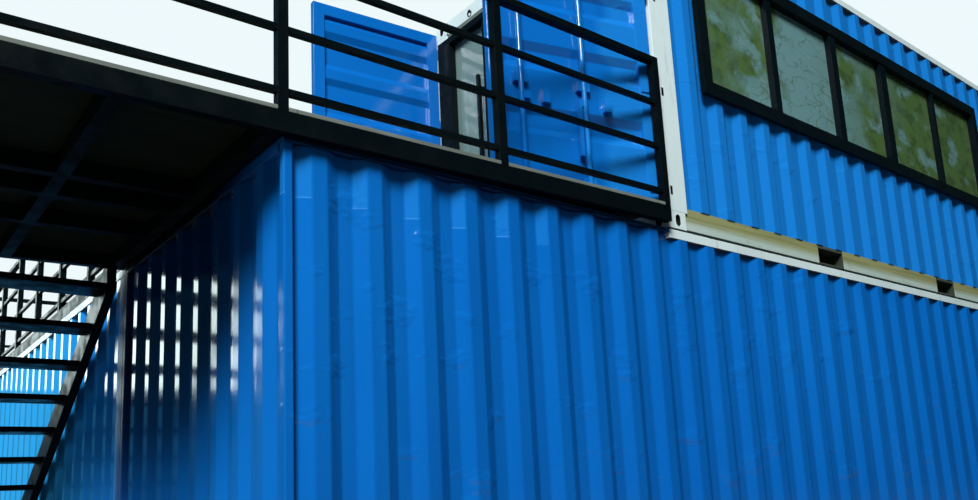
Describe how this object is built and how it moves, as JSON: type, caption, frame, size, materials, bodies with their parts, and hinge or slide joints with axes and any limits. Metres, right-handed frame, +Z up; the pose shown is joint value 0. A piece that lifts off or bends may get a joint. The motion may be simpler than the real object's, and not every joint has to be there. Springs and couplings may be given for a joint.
{
  "type": "shipping container cabin",
  "caption": "Two-storey cabin of blue container boxes with a rear wing, a ribbon window, open cargo doors, a roof terrace and an outside stair.",
  "frame": {"origin": "middle of the whole footprint, on the ground", "axes": "+X along the long front wall from the stair end to the far end, -Y towards the front, +Z up"},
  "size_m": [9.998, 8.556, 5.194],
  "materials": {
    "blue_paint": "gloss",
    "white_paint": "satin",
    "rail_paint": "satin",
    "roof_paint": "satin",
    "black_paint": "satin",
    "black_aluminium": "satin",
    "window_glass": "gloss",
    "end_glass": "gloss",
    "deck_board": "matte",
    "soffit_panel": "matte",
    "floor_board": "satin"
  },
  "bodies": {
    "root": {"lower_floor_frame": "blue_paint", "lower_front_wall": "blue_paint", "lower_rear_wall": "blue_paint", "lower_end_walls": "blue_paint", "lower_corner_posts": "blue_paint", "lower_blue_rails": "blue_paint", "lower_white_rail": "white_paint", "lower_roofs": "roof_paint", "wing_walls": "blue_paint", "wing_posts": "blue_paint", "wing_top_rails": "white_paint", "bearing_plates": "black_paint", "upper_castings": "white_paint", "upper_posts": "white_paint", "upper_bottom_rails": "rail_paint", "upper_rails": "white_paint", "fork_pockets": "rail_paint", "upper_floor": "floor_board", "upper_roof": "roof_paint", "wall_below_window": "blue_paint", "wall_above_window": "blue_paint", "walls_beside_window": "blue_paint", "upper_rear_wall": "blue_paint", "upper_right_wall": "blue_paint", "window_frame": "black_aluminium", "window_glass": "window_glass", "near_door_leaf": "blue_paint", "far_door_leaf": "blue_paint", "near_lock_gear": "blue_paint", "far_lock_gear": "blue_paint", "door_hinges": "blue_paint", "end_frame": "black_aluminium", "end_head_strip": "rail_paint", "end_glass": "end_glass", "end_pull_handle": "black_aluminium", "deck_front_channel": "black_paint", "deck_frame": "black_paint", "deck_boards": "deck_board", "landing_panels": "soffit_panel", "landing_columns": "black_paint", "front_railing": "black_paint", "landing_end_railing": "black_paint", "wing_railing": "black_paint", "stair_stringers": "black_paint", "stair_treads": "black_paint", "stair_handrail": "black_paint"}
  },
  "joints": []
}
